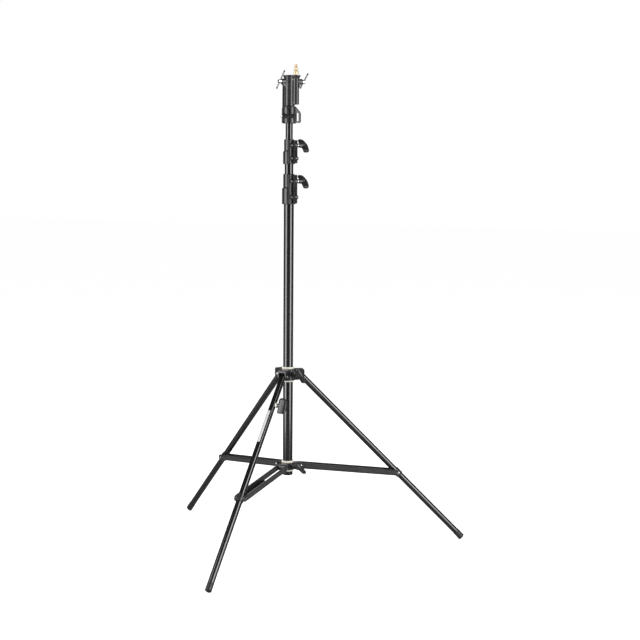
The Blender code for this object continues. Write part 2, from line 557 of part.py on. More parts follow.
def spigot(riser_2):
    """The brass stud in the smaller tube, with a neck for its screw and a threaded tip."""
    low, waist = 0.0700, 0.1800
    profile = [(0, low), (0.0070, low), (0.0080, low + 0.0010), (0.0080, waist), (0.0066, waist + 0.0014),
               (0.0066, waist + 0.0030), (0.0076, waist + 0.0044), (0.0076, waist + 0.0105),
               (0.0048, waist + 0.0120), (0.0048, waist + 0.0220), (0.0040, waist + 0.0230),
               (0, waist + 0.0230)]
    part("spigot", lathe(profile, LEG_SEGMENTS), "brass", riser_2, (SPIGOT_X, 0, HEAD_BOTTOM))


def centre_on_origin(root):
    """Slide the stand over the floor until its bounding box is centred on the origin."""
    bpy.context.view_layer.update()
    corners = [piece.matrix_world @ vertex.co for piece in bpy.data.objects if piece.type == "MESH"
               for vertex in piece.data.vertices]
    for axis in (0, 1):
        along = [corner[axis] for corner in corners]
        root.location[axis] = -(min(along) + max(along)) / 2
    bpy.context.view_layer.update()


def build():
    remove_everything()
    stand = joint("stand", None)
    column = joint("column", stand)
    base_column(column)
    collar("lower_collar", column, LOWER_COLLAR)
    riser_1 = riser(1, column, RISER_1_R, RISER_1_BORE, RISER_1_BOTTOM, RISER_1_TOP)
    collar("upper_collar", riser_1, UPPER_COLLAR)
    riser_2 = riser(2, riser_1, RISER_2_R, RISER_2_BORE, RISER_2_BOTTOM, RISER_2_TOP)
    head_casting(riser_2)
    t_handle("socket_t", riser_2, SOCKET_T, (0, 0, HEAD_BOTTOM + T_SCREW_Z), SOCKET_BAR_SHIFT)
    t_handle("spigot_t", riser_2, SPIGOT_T, (SPIGOT_X, 0, HEAD_BOTTOM + T_SCREW_Z), SPIGOT_BAR_SHIFT)
    spigot(riser_2)

    upper = upper_hub(column)
    lower = lower_hub(upper)
    hinge_frame = Matrix.Translation((PIVOT_R, 0, UPPER_HUB_Z)) @ Matrix.Rotation(-LEG_SPREAD, 4, "Y")
    floor = hinge_frame.inverted()
    for name, degrees in LEG_ANGLES.items():
        leg(name, upper, radians(degrees), floor)
        brace(name, lower, radians(degrees))
    centre_on_origin(stand)


build()
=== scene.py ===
"""The looks of a two-riser lighting stand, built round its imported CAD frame.

Metres, +Z up, in the CAD model's frame. Nearly every visible piece is a finer mesh that stands for one
CAD node: it takes its place from the frame's joints and boxes, its body and its material slot from the
record, and its shape from the functions below. Turned pieces are lathed, sheet pieces are bevelled
plates, and cast or moulded pieces are fused and smoothed, and then drilled.
"""

import json
from math import asin, atan2, cos, hypot, pi, radians, sin

import bmesh
import bpy
from mathutils import Matrix, Vector


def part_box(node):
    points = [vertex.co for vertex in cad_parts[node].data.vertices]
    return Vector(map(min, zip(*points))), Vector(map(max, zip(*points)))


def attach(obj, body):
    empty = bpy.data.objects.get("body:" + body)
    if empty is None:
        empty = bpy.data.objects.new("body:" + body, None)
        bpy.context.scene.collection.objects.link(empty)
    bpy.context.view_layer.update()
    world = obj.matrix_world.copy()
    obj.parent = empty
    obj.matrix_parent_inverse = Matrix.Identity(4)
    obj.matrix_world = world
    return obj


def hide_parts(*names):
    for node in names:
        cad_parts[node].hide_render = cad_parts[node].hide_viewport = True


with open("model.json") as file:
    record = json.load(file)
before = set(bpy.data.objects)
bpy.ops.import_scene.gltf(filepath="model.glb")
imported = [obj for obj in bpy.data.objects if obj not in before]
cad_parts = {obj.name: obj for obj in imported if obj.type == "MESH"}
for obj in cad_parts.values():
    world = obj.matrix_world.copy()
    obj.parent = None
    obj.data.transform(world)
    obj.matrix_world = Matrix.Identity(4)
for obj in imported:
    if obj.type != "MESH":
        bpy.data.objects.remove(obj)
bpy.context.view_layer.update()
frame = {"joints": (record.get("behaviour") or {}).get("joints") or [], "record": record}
RECORD = frame["record"]
BODY_OF = {node: body for body, nodes in RECORD["behaviour"]["bodies"].items() for node in nodes}
SLOT_OF = {row["node"]: row["material_slot"] for row in RECORD["subparts"]}
JOINTS = {row["name"]: row for row in frame["joints"]}

SHARP_ANGLE = radians(35)
ROUND = 64
GAP = 0.0003
UP = Vector((0, 0, 1))

# Where the parts are, read from the frame
COLUMN = (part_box("base_tube")[0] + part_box("base_tube")[1]) / 2
COLUMN.z = 0
HINGES = {leg: Vector(JOINTS[f"{leg}_leg_fold"]["pos_m"]) for leg in ("levelling", "right", "left")}
BRACE_HINGES = {leg: Vector(JOINTS[f"{leg}_brace_fold"]["pos_m"]) for leg in HINGES}
PIVOT_R = hypot(*(HINGES["levelling"] - COLUMN).xy)
UPPER_HUB = COLUMN + UP * HINGES["levelling"].z
LOWER_HUB = COLUMN + UP * BRACE_HINGES["levelling"].z
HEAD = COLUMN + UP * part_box("head_casting")[0].z
LEG_UP = Vector(JOINTS["levelling_leg_slide"]["axis"])
LEG_SPREAD = atan2(LEG_UP.y, LEG_UP.z)


def heading(angle, radius=1.0, z=0.0):
    """The point at a radius and an angle about the Z axis."""
    return Vector((radius * cos(angle), radius * sin(angle), z))


def aim(direction, lean=(0, 0, 1)):
    """A rotation whose Z runs along direction and whose X leans towards lean."""
    z_axis = Vector(direction).normalized()
    x_axis = Vector(lean) - z_axis * z_axis.dot(Vector(lean))
    x_axis.normalize()
    return Matrix((x_axis, z_axis.cross(x_axis), z_axis)).transposed().to_4x4()


def at(point, rotation=Matrix()):
    """A place: a rotation, then a move to a point."""
    return Matrix.Translation(point) @ rotation.to_4x4()


def spin(angle):
    """A rotation about Z."""
    return Matrix.Rotation(angle, 4, "Z")


# ---- shapes ------------------------------------------------------------------------------------

def solid(shape):
    """Turn a closed bmesh into a mesh with its faces pointing out."""
    bmesh.ops.recalc_face_normals(shape, faces=shape.faces)
    mesh = bpy.data.meshes.new("solid")
    shape.to_mesh(mesh)
    shape.free()
    return mesh


def moved(mesh, matrix):
    """The same mesh, transformed."""
    mesh.transform(matrix)
    return mesh


def eased(profile, closed=False, steps=4):
    """Replace each (a, b, radius) corner of a profile by a small arc; plain (a, b) corners stay."""
    made = []
    count = len(profile)
    for i, corner in enumerate(profile):
        here = Vector(corner[:2])
        inside = closed or 0 < i < count - 1
        if len(corner) < 3 or not inside:
            made.append(tuple(here))
            continue
        before, after = (Vector(profile[(i + way) % count][:2]) - here for way in (-1, 1))
        reach = min(corner[2], 0.45 * before.length, 0.45 * after.length)
        first, last = here + before.normalized() * reach, here + after.normalized() * reach
        for k in range(steps + 1):
            t = k / steps
            made.append(tuple((1 - t) ** 2 * first + 2 * t * (1 - t) * here + t ** 2 * last))
    return made


def guarded(profile, closed=False, guard=0.0010):
    """Add a point close to each end of a long run, so that worn edges stay narrow."""
    made = []
    for first, last in zip(profile, profile[1:] + profile[:1] if closed else profile[1:]):
        made.append(first)
        run = Vector(last) - Vector(first)
        if run.length > 4 * guard:
            step = run.normalized() * guard
            made += [tuple(Vector(first) + step), tuple(Vector(last) - step)]
    return made if closed else made + [profile[-1]]


def lathe(profile, segments=ROUND, ring=False):
    """Turn a profile of (radius, z[, corner radius]) points about Z: a solid, or a closed ring."""
    shape = bmesh.new()
    turns = [2 * pi * i / segments for i in range(segments)]
    rings = []
    for radius, z in guarded(eased(profile, ring), ring):
        angles = turns if radius > 1e-7 else [0]
        rings.append([shape.verts.new(heading(turn, radius, z)) for turn in angles])
    following = rings[1:] + rings[:1] if ring else rings[1:]
    for low, high in zip(rings, following):
        for i in range(segments):
            j = (i + 1) % segments
            corners = [low[i % len(low)], low[j % len(low)], high[j % len(high)], high[i % len(high)]]
            corners = list(dict.fromkeys(corners))
            if len(corners) > 2:
                shape.faces.new(corners)
    return solid(shape)


def tube(radius, bore, low, high, edge=0.0004, segments=ROUND):
    """A round tube along Z, with eased rims."""
    outline = [(radius, low, edge), (radius, high, edge), (bore, high, edge), (bore, low, edge)]
    return lathe(outline, segments, ring=True)


def loft(sections):
    """Join closed sections of equally many points, and close both ends."""
    shape = bmesh.new()
    loops = [[shape.verts.new(point) for point in section] for section in sections]
    count = len(loops[0])
    for low, high in zip(loops, loops[1:]):
        for i in range(count):
            j = (i + 1) % count
            shape.faces.new([low[i], low[j], high[j], high[i]])
    shape.faces.new(loops[0])
    shape.faces.new(loops[-1])
    return solid(shape)


def plate(outline, low_y, high_y, corner_arcs=False):
    """Extrude an outline of (x, z[, corner radius]) points along Y."""
    if corner_arcs:
        outline = eased(outline, True)
    return loft([[(x, y, z) for x, z in outline] for y in (low_y, high_y)])


def bevelled(mesh, width, segments=2):
    """Round a mesh's sharp edges."""
    shape = bmesh.new()
    shape.from_mesh(mesh)
    sharp = [edge for edge in shape.edges if edge.is_manifold and edge.calc_face_angle() > SHARP_ANGLE]
    bmesh.ops.bevel(shape, geom=sharp, offset=width, segments=segments, profile=0.5, affect="EDGES",
                    clamp_overlap=True)
    wide = [face for face in shape.faces if len(face.verts) > 8]
    bmesh.ops.inset_individual(shape, faces=wide, thickness=0.0008)
    return solid(shape)


def prism(outline, low_z, high_z):
    """Extrude an outline of (x, y[, corner radius]) points along Z."""
    return loft([[(x, y, z) for x, y in eased(outline, True)] for z in (low_z, high_z)])


def block(low, high):
    """A box between two corners."""
    outline = [(low[0], low[2]), (high[0], low[2]), (high[0], high[2]), (low[0], high[2])]
    return plate(outline, low[1], high[1])


def rod(start, end, radius, segments=32):
    """A round bar between two points."""
    run = Vector(end) - Vector(start)
    lean = (1, 0, 0) if abs(run.normalized().z) > 0.9 else (0, 0, 1)
    bar = lathe([(0, 0), (radius, 0), (radius, run.length), (0, run.length)], segments)
    return moved(bar, at(Vector(start), aim(run, lean)))


def fused(*meshes):
    """One mesh with all the shells of the others."""
    shape = bmesh.new()
    for mesh in meshes:
        shape.from_mesh(mesh)
    mesh = bpy.data.meshes.new("fused")
    shape.to_mesh(mesh)
    shape.free()
    return mesh


def through(mesh, steps):
    """The mesh that a stack of modifiers makes; each step is (kind, settings)."""
    target = bpy.data.objects.new("target", mesh)
    bpy.context.scene.collection.objects.link(target)
    helpers = []
    for kind, settings in steps:
        step = target.modifiers.new("step", kind)
        for name, value in settings.items():
            if name == "cutter":
                value = bpy.data.objects.new("helper", value)
                bpy.context.scene.collection.objects.link(value)
                helpers.append(value)
                name = "object"
            setattr(step, name, value)
    evaluated = target.evaluated_get(bpy.context.evaluated_depsgraph_get())
    made = bpy.data.meshes.new_from_object(evaluated)
    for used in (target, *helpers):
        bpy.data.objects.remove(used)
    return made


def boolean(operation, cutter):
    """A step for through() that cuts with or joins a closed mesh."""
    return ("BOOLEAN", {"operation": operation, "solver": "MANIFOLD", "cutter": cutter})


def cut(mesh, *cutters):
    """A mesh with the cutters taken out of it, one after another."""
    return through(mesh, [boolean("DIFFERENCE", cutter) for cutter in cutters])


def cast(shells, cutters, grain=0.0008, blur=6, keep=0.35):
    """A casting: shells grown together with soft corners, then cut crisply."""
    steps = [
        ("REMESH", {"mode": "VOXEL", "voxel_size": grain, "adaptivity": 0.0}),
        ("SMOOTH", {"factor": 0.5, "iterations": blur}),
        ("DECIMATE", {"ratio": keep}),
    ]
    return through(fused(*shells), steps + [boolean("DIFFERENCE", cutter) for cutter in cutters])


# ---- placing -----------------------------------------------------------------------------------

def show(name, mesh, finish, place, body):
    """Show a piece with its finish, on the CAD body that it moves with."""
    mesh.materials.clear()
    mesh.materials.append(FINISHES[finish])
    mesh.shade_smooth()
    mesh.set_sharp_from_angle(angle=SHARP_ANGLE)
    piece = bpy.data.objects.new(name, mesh)
    bpy.context.scene.collection.objects.link(piece)
    piece.matrix_world = place
    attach(piece, body)
    return piece


def stand_in(node, mesh, place):
    """Show a finer mesh in place of a CAD node."""
    piece = show(f"{node}_fine", mesh, SLOT_OF[node], place, BODY_OF[node])
    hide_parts(node)


# ---- finishes ----------------------------------------------------------------------------------

WORN_EDGE = (0.54, 0.66)  # the pointiness at which wear starts, and where it is full


def grained(name, colour, second, metallic, rough, bump, wear, stretch=(1, 1, 1), coat=0.0, specular=0.5):
    """A finish with two mixed tones, uneven gloss, a fine surface grain and rubbed edges.

    rough is (smoothest, roughest); bump is (grains per metre, depth in metres); wear is (colour, amount).
    stretch scales the pattern along the piece's own axes.
    """
    made = bpy.data.materials.new(name)
    made.use_nodes = True
    nodes, links = made.node_tree.nodes, made.node_tree.links
    shader = nodes["Principled BSDF"]
    shader.inputs["Metallic"].default_value = metallic
    shader.inputs["Coat Weight"].default_value = coat
    shader.inputs["Coat Roughness"].default_value = 0.12
    shader.inputs["Specular IOR Level"].default_value = specular
    where = nodes.new("ShaderNodeTexCoord")
    stretched = nodes.new("ShaderNodeMapping")
    stretched.inputs["Scale"].default_value = stretch
    links.new(where.outputs["Object"], stretched.inputs["Vector"])

    def noise(scale, detail):
        texture = nodes.new("ShaderNodeTexNoise")
        texture.inputs["Scale"].default_value = scale
        texture.inputs["Detail"].default_value = detail
        links.new(stretched.outputs["Vector"], texture.inputs["Vector"])
        return texture.outputs["Fac"]

    def ranged(value, low, high, to_low, to_high):
        step = nodes.new("ShaderNodeMapRange")
        for socket, number in zip(("From Min", "From Max", "To Min", "To Max"), (low, high, to_low, to_high)):
            step.inputs[socket].default_value = number
        links.new(value, step.inputs["Value"])
        return step.outputs["Result"]

    def mixed(factor, first, last):
        blend = nodes.new("ShaderNodeMixRGB")
        links.new(factor, blend.inputs["Fac"])
        for socket, value in (("Color1", first), ("Color2", last)):
            if isinstance(value, tuple):
                blend.inputs[socket].default_value = (*value, 1)
            else:
                links.new(value, blend.inputs[socket])
        return blend.outputs["Color"]

    clouds = ranged(noise(38, 5), 0.35, 0.68, 0, 1)
    specks = noise(170, 4)
    tone = mixed(clouds, colour, second)
    edges = nodes.new("ShaderNodeNewGeometry").outputs["Pointiness"]
    rubbed = nodes.new("ShaderNodeMath")
    rubbed.operation = "MULTIPLY"
    links.new(ranged(edges, *WORN_EDGE, 0, wear[1]), rubbed.inputs[0])
    links.new(ranged(specks, 0.30, 0.62, 0.15, 1), rubbed.inputs[1])
    links.new(mixed(rubbed.outputs["Value"], tone, wear[0]), shader.inputs["Base Color"])
    links.new(ranged(specks, 0.3, 0.7, *rough), shader.inputs["Roughness"])
    relief = nodes.new("ShaderNodeBump")
    relief.inputs["Strength"].default_value = 1.0
    relief.inputs["Distance"].default_value = bump[1]
    links.new(noise(bump[0], 3), relief.inputs["Height"])
    links.new(relief.outputs["Normal"], shader.inputs["Normal"])
    return made


GREY_WEAR = (0.16, 0.16, 0.165)
FINISHES = {
    "tube_black": grained("tube_black_paint", (0.0030, 0.0028, 0.0030), (0.0055, 0.0052, 0.0056), 0.0,
                          (0.14, 0.19), (900, 0.000001), (GREY_WEAR, 0.5), (1, 1, 0.12), 0.6, 0.7),
    "casting_black": grained("casting_black_coat", (0.009, 0.009, 0.0095), (0.016, 0.016, 0.017), 0.0,
                             (0.24, 0.34), (1300, 0.000004), (GREY_WEAR, 0.22), (1, 1, 1), 0.25, 0.55),
    "brace_black": grained("brace_black_coat", (0.014, 0.0135, 0.0135), (0.022, 0.021, 0.021), 0.0,
                           (0.28, 0.40), (1100, 0.000004), (GREY_WEAR, 0.35), (0.3, 1, 1), 0.1, 0.55),
    "knob_plastic": grained("knob_plastic_moulded", (0.012, 0.0115, 0.011), (0.019, 0.0185, 0.018), 0.0,
                            (0.22, 0.32), (1700, 0.000003), ((0.07, 0.07, 0.07), 0.4), (1, 1, 1), 0.0, 0.6),
    "cap_plastic": grained("cap_plastic_moulded", (0.006, 0.006, 0.006), (0.011, 0.011, 0.011), 0.0,
                           (0.20, 0.32), (1500, 0.00002), ((0.06, 0.06, 0.06), 0.4)),
    "nylon_white": grained("nylon_white_moulded", (0.58, 0.555, 0.49), (0.50, 0.475, 0.41), 0.0,
                           (0.36, 0.52), (1200, 0.000005), ((0.55, 0.52, 0.45), 0.5)),
    "foot_rubber": grained("foot_rubber_moulded", (0.0085, 0.0085, 0.0085), (0.017, 0.0165, 0.016), 0.0,
                           (0.28, 0.42), (1600, 0.000006), ((0.06, 0.058, 0.055), 0.6)),
    "fastener_steel": grained("fastener_steel_zinc", (0.62, 0.62, 0.64), (0.50, 0.50, 0.51), 1.0,
                              (0.18, 0.34), (1500, 0.000004), ((0.85, 0.85, 0.86), 0.6)),
    "chrome": grained("chrome_plate", (0.72, 0.72, 0.74), (0.62, 0.62, 0.64), 1.0,
                      (0.16, 0.28), (900, 0.000002), ((0.95, 0.95, 0.96), 0.5)),
    "brass": grained("brass_turned", (0.80, 0.67, 0.45), (0.70, 0.56, 0.35), 1.0,
                     (0.34, 0.46), (700, 0.000004), ((0.95, 0.80, 0.52), 0.5), (1, 1, 12)),
    "inner_steel": grained("inner_steel_drawn", (0.50, 0.50, 0.51), (0.40, 0.40, 0.41), 1.0,
                           (0.22, 0.36), (800, 0.00001), ((0.7, 0.7, 0.7), 0.5), (1, 1, 0.1)),
    "label": grained("label_film", (0.40, 0.40, 0.398), (0.34, 0.34, 0.338), 0.0,
                     (0.28, 0.42), (900, 0.00001), ((0.45, 0.45, 0.44), 0.6)),
    "ball_end": grained("ball_end_dark", (0.05, 0.05, 0.052), (0.09, 0.09, 0.092), 0.6,
                        (0.24, 0.36), (1200, 0.00001), (GREY_WEAR, 0.5)),
}


# ---- column ------------------------------------------------------------------------------------

BASE_R, RISER_1_R, RISER_2_R = 0.0175, 0.0150, 0.0125
TUBES = {
    "base_tube": (BASE_R, 0.0155),
    "riser_1_tube": (RISER_1_R, 0.0130),
    "riser_2_tube": (RISER_2_R, 0.0108),
}


def column_tubes():
    """The base tube and the two risers."""
    for name, (radius, bore) in TUBES.items():
        low, high = (corner.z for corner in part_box(name))
        middle = (low + high) / 2
        made = tube(radius, bore, low - middle, high - middle, 0.0005, 96)
        stand_in(name, made, at(COLUMN + UP * middle))


def cap_and_bushes():
    """The cap under the base tube and the guide bush at the foot of each riser."""
    low, high = (corner.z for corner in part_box("base_tube_cap"))
    flange = low + 0.0125
    profile = [(0, 0), (0.0150, 0, 0.0020), (0.0183, 0.0016, 0.0016), (0.0183, 0.0066, 0.0004),
               (0.0176, 0.0070, 0.0003), (0.0176, 0.0080, 0.0003), (0.0183, 0.0084, 0.0004),
               (0.0183, flange - low, 0.0006), (0.0152, flange - low), (0.0152, high - low, 0.0010),
               (0, high - low)]
    stand_in("base_tube_cap", lathe(profile), at(COLUMN + UP * low))
    for riser in ("riser_1", "riser_2"):
        radius, bore = TUBES[f"{riser}_tube"]
        node = f"{riser}_bush"
        low, high = (corner.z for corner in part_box(node))
        rim, plug = radius + 0.00025, bore - GAP
        profile = [(0, 0), (rim, 0, 0.0008), (rim, 0.0040, 0.0006), (plug, 0.0040),
                   (plug, high - low, 0.0008), (0, high - low)]
        stand_in(node, lathe(profile), at(COLUMN + UP * low))


# ---- knobs and screws --------------------------------------------------------------------------

STUD_R, HOLE_R = 0.0030, 0.0033


def superellipse(depth, width, centre, power=0.62, count=28):
    """A rounded section of (y, z) points."""
    points = []
    for i in range(count):
        turn = 2 * pi * i / count
        c, s = cos(turn), sin(turn)
        points.append((depth * (1 if c > 0 else -1) * abs(c) ** power,
                       centre + width * (1 if s > 0 else -1) * abs(s) ** power))
    return points


def wing_knob(node, place, blade_z, stud_length, half_span, half_width, half_depth, sweep):
    """A moulded wing on a hub with a steel ring under it. The wing at +X ends round, the other square."""
    hub_top = blade_z + 0.0013
    hub = lathe([(0, 0.0030), (0.0070, 0.0030, 0.0008), (0.0078, 0.0090, 0.004), (0.0090, hub_top, 0.0025),
                 (0, hub_top + 0.0003)], 40)
    stations = [(-1.0, 0.78), (-0.985, 0.90), (-0.94, 0.99), (-0.80, 1.0), (-0.6, 1.0), (-0.4, 1.0),
                (-0.2, 1.0), (0.0, 1.0), (0.2, 1.0), (0.4, 1.0), (0.6, 0.99), (0.74, 0.94), (0.86, 0.82),
                (0.94, 0.64), (0.985, 0.42), (1.0, 0.20)]
    sections = []
    for along, size in stations:
        depth = size * 1.10 * half_depth * (1 - 0.26 * abs(along))
        width = size * 1.12 * half_width * (1 - 0.14 * abs(along))
        centre = blade_z - sweep * along ** 2
        waist = 1 - 0.14 * max(0, 1 - abs(abs(along) - 0.42) / 0.3) * 0.5
        sections.append([(along * half_span, y * waist, z) for y, z in superellipse(depth, width, centre)])
    stand_in(node, fused(loft(sections), hub), place)
    ring = lathe([(0, -stud_length), (STUD_R, -stud_length, 0.0004), (STUD_R, 0), (0.0062, 0, 0.0004),
                  (0.0064, 0.0029, 0.0004), (0, 0.0029)], 32)
    show(f"{node}_stud", ring, "fastener_steel", place, BODY_OF[node])


def cap_screw(node, place, start, end, x, z):
    """A dome-headed screw with a hexagon socket, along Y."""
    toward = 1 if end > start else -1
    length = abs(end - start)
    profile = [(0, -0.0050), (0.0030, -0.0048, 0.0010), (0.0052, -0.0034, 0.0016), (0.0065, -0.0010, 0.0008),
               (0.0065, 0, 0.0003), (STUD_R, 0), (STUD_R, length, 0.0006), (0, length)]
    socket = lathe([(0, -0.0070), (0.0023, -0.0070), (0.0023, -0.0022), (0, -0.0018)], 6)
    mesh = moved(cut(lathe(profile, 48), socket), at((x, start, z), aim((0, toward, 0))))
    stand_in(node, mesh, place)


def pin(half_length, head):
    """A pin along Y with two domed heads."""
    side = [(0, -half_length - head), (0.0026, -half_length - head, 0.0012),
            (0.0050, -half_length - 0.25 * head, 0.0008), (0.0050, -half_length, 0.0002),
            (STUD_R, -half_length)]
    mirrored = [(corner[0], -corner[1], *corner[2:]) for corner in reversed(side)]
    return moved(lathe(side + mirrored, 40), aim((0, 1, 0)))


# ---- collars -----------------------------------------------------------------------------------

COLLAR_SPIN = spin(radians(-36))
COLLAR_KNOB_TURN = radians(-48)
# The (x, y) of the outer corner of each ear, and of the pad on the far one
EARS = {"near": (0.0265, -0.0120), "far": (0.0350, 0.0027), "pad": (0.0335, 0.0170)}
SLOT_Y = (-0.0055, -0.0025)
EAR_ROOT, EAR_END = 0.0080, 0.0030
CLAMP_X, SEAT, SCREW_END = 0.0270, 0.0173, -0.0110


def collar(name, step_z, radii, bores, knob_z, pinch_z):
    """A split clamping collar with tapped ears, its pinch screw and its wing knob."""
    bottom, top = (corner.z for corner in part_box(name))
    height, step = top - bottom, step_z - bottom
    knob_z, pinch_z = knob_z - bottom, pinch_z - bottom
    place = at(COLUMN + UP * bottom, COLLAR_SPIN)
    low_r, high_r = radii
    body = lathe([(0, 0), (low_r, 0, 0.0012), (low_r, step - 0.0025, 0.001), (high_r, step + 0.0015, 0.001),
                  (high_r, height, 0.0012), (0, height)])
    ears = (EAR_END, height - EAR_END)
    slot_low, slot_high = SLOT_Y
    near_x, near_y = EARS["near"]
    far_x, far_y = EARS["far"]
    pad_x, pad_y = EARS["pad"]
    shells = [
        body,
        prism([(EAR_ROOT, near_y), (near_x, near_y), (near_x, 0), (EAR_ROOT, 0)], *ears),
        prism([(EAR_ROOT, slot_low), (far_x, slot_low), (far_x - 0.0014, far_y), (EAR_ROOT, far_y)], *ears),
        prism([(EAR_ROOT, 0), (pad_x, 0), (pad_x - 0.0045, pad_y), (EAR_ROOT, pad_y)], *ears),
    ]
    shells += [rod((CLAMP_X, -0.0130, z), (CLAMP_X, 0, z), 0.0065) for z in (knob_z, pinch_z)]
    shells += [rod((CLAMP_X, 0.0050, z), (CLAMP_X, 0.0168, z), 0.0078) for z in (knob_z, pinch_z)]
    low_bore, high_bore = (bore + GAP for bore in bores)
    cutters = [
        lathe([(0, -0.001), (low_bore, -0.001), (low_bore, step + GAP), (high_bore, step + GAP),
               (high_bore, height + 0.001), (0, height + 0.001)], 96),
        block((EAR_ROOT, slot_low, -0.001), (0.0400, slot_high, height + 0.001)),
    ]
    cutters += [rod((CLAMP_X, -0.0115, z), (CLAMP_X, 0.0200, z), HOLE_R) for z in (knob_z, pinch_z)]
    cutters += [block((0.0, -0.05, height - 0.0001), (0.06, 0.05, height + 0.01)),
                block((0.0, pad_y, -0.01), (0.06, 0.05, height + 0.01))]
    stand_in(name, cast(shells, cutters, 0.0006, 5, 0.3), place)
    cap_screw(f"{name}_pinch_bolt", place, SEAT, SCREW_END, CLAMP_X, pinch_z)
    seat_point = place @ Vector((CLAMP_X, SEAT, knob_z))
    sideways = COLLAR_SPIN @ aim((0, 1, 0)) @ spin(COLLAR_KNOB_TURN)
    wing_knob(f"{name}_knob", at(seat_point, sideways), 0.0275, SEAT - SCREW_END, 0.0315, 0.0110,
              0.0070, 0.0050)


# ---- hubs --------------------------------------------------------------------------------------

HUB_BORE, HUB_R, UPPER_LUG_HALF = 0.0203, 0.0245, 0.0163
HUB_KNOB_ANGLE, HUB_KNOB_BASE, HUB_STUD_TIP = radians(-27), 0.0383, 0.0180
LEG_SPINS = {leg: spin(atan2(*(HINGES[leg] - COLUMN).yx)) for leg in HINGES}


def hub(name, place, low, high, lug, pocket, lug_half, knob_z, knob_turn, skirt):
    """A hub casting with its nylon rings and its wing knob."""
    shells = [lathe([(0, low), (HUB_R, low, 0.0010), (HUB_R, high, 0.0010), (0, high)], 96)]
    shells += [moved(plate(lug, -lug_half, lug_half, True), turn) for turn in LEG_SPINS.values()]
    inside, face, outside = (heading(HUB_KNOB_ANGLE, reach, knob_z) for reach in (0.0150, 0.0380, 0.0420))
    shells.append(rod(inside, face, 0.0088))
    below, above = low - 0.002, high + 0.002
    cutters = [lathe([(0, below), (HUB_BORE, below), (HUB_BORE, above), (0, above)], 96),
               rod(inside, outside, HOLE_R)]
    for turn in LEG_SPINS.values():
        if pocket:
            cutters.append(moved(bevelled(plate(pocket, -0.0118, 0.0118), 0.0008), turn))
        cutters.append(moved(rod((PIVOT_R, -0.0200, 0), (PIVOT_R, 0.0200, 0), HOLE_R), turn))
    stand_in(name, cast(shells, cutters, 0.0008, 5, 0.3), place)
    bore, ring_r, skirt_r = BASE_R + GAP, 0.0215, 0.0200
    for side, face, way, flange in (("bottom", low - GAP, 1, 0.0045), ("top", high + GAP, -1, 0.0062)):
        profile = [(bore, face - way * flange, 0.0004), (ring_r, face - way * flange, 0.0012),
                   (ring_r, face, 0.0004), (skirt_r, face), (skirt_r, face + way * skirt, 0.0004),
                   (bore, face + way * skirt, 0.0004)]
        stand_in(f"{name}_bush_{side}", lathe(profile, 72, ring=True), place)
    turned = aim(heading(HUB_KNOB_ANGLE)) @ spin(knob_turn)
    knob_at = place @ heading(HUB_KNOB_ANGLE, HUB_KNOB_BASE, knob_z)
    wing_knob(f"{name}_knob", at(knob_at, turned), 0.0300, HUB_KNOB_BASE - HUB_STUD_TIP, 0.0315, 0.0110,
              0.0070, 0.0045)


def hubs():
    """Both hubs, with the pins of the legs and of the braces."""
    lug = [(0.0050, 0.0220), (0.0530, 0.0220, 0.003), (0.0570, 0.0185, 0.003), (0.0570, -0.0060, 0.004),
           (0.0500, -0.0160, 0.004), (0.0050, -0.0180)]
    pocket = [(0.0248, -0.0250), (0.0248, 0.0168), (0.0510, 0.0168), (0.0510, 0.0130), (0.0600, 0.0130),
              (0.0600, -0.0250)]
    hub("upper_hub", at(UPPER_HUB), -0.0185, 0.0225, lug, pocket, UPPER_LUG_HALF, 0.0040, radians(36),
        0.0080)
    arc = [(PIVOT_R + 0.0108 * cos(t), 0.0108 * sin(t)) for t in (radians(-90 + 12 * i) for i in range(16))]
    tongue = [(0.0050, -0.0108), *arc, (0.0050, 0.0108)]
    hub("lower_hub", at(LOWER_HUB), -0.0145, 0.0115, tongue, None, 0.0146, -0.0010, radians(50), 0.0050)
    for leg in HINGES:
        hinge_pin, inner_pin = pin(UPPER_LUG_HALF + GAP, 0.0018), pin(BAR_OUTER_Y + GAP, 0.0013)
        stand_in(f"{leg}_leg_hinge_pin", hinge_pin, at(HINGES[leg], LEG_SPINS[leg]))
        stand_in(f"{leg}_brace_inner_pin", inner_pin, at(BRACE_HINGES[leg], LEG_SPINS[leg]))


# ---- legs and braces ---------------------------------------------------------------------------

LEG_R, LEG_BORE, LEG_LENGTH, LEG_TOP, LEG_END = 0.0110, 0.0093, 0.8500, 0.0080, -0.8380
LEVEL_TUBE_END, INNER_R, INNER_BORE, INNER_TOP, INNER_END = -0.8260, 0.0090, 0.0075, -0.0600, -0.8397
FOOT_R, BRACE_JOIN, BAR_INNER_Y, BAR_OUTER_Y, BAR_HALF = 0.0119, 0.5070, 0.0150, 0.0190, 0.0100
LEVEL_KNOB_S, LEVEL_TRAVEL, LEVEL_SEAT = 0.1260, 0.2500, 0.0144


def foot(cup_start, cup_floor, radius, bore, ground):
    """A close-fitting rubber foot with two moulded rings, cut flat where it stands."""
    tip = -LEG_LENGTH - 0.0040
    rings = []
    for z in (-cup_start - 0.0056, -cup_start - 0.0030):
        rings += [(radius, z - 0.0006), (radius - 0.0003, z - 0.0002), (radius - 0.0003, z + 0.0002),
                  (radius, z + 0.0006)]
    profile = [(0, tip), (radius, tip, 0.0030), *rings, (radius, -cup_start, 0.0004), (bore, -cup_start),
               (bore, -cup_floor), (0, -cup_floor)]
    return cut(lathe(profile, 48), ground)


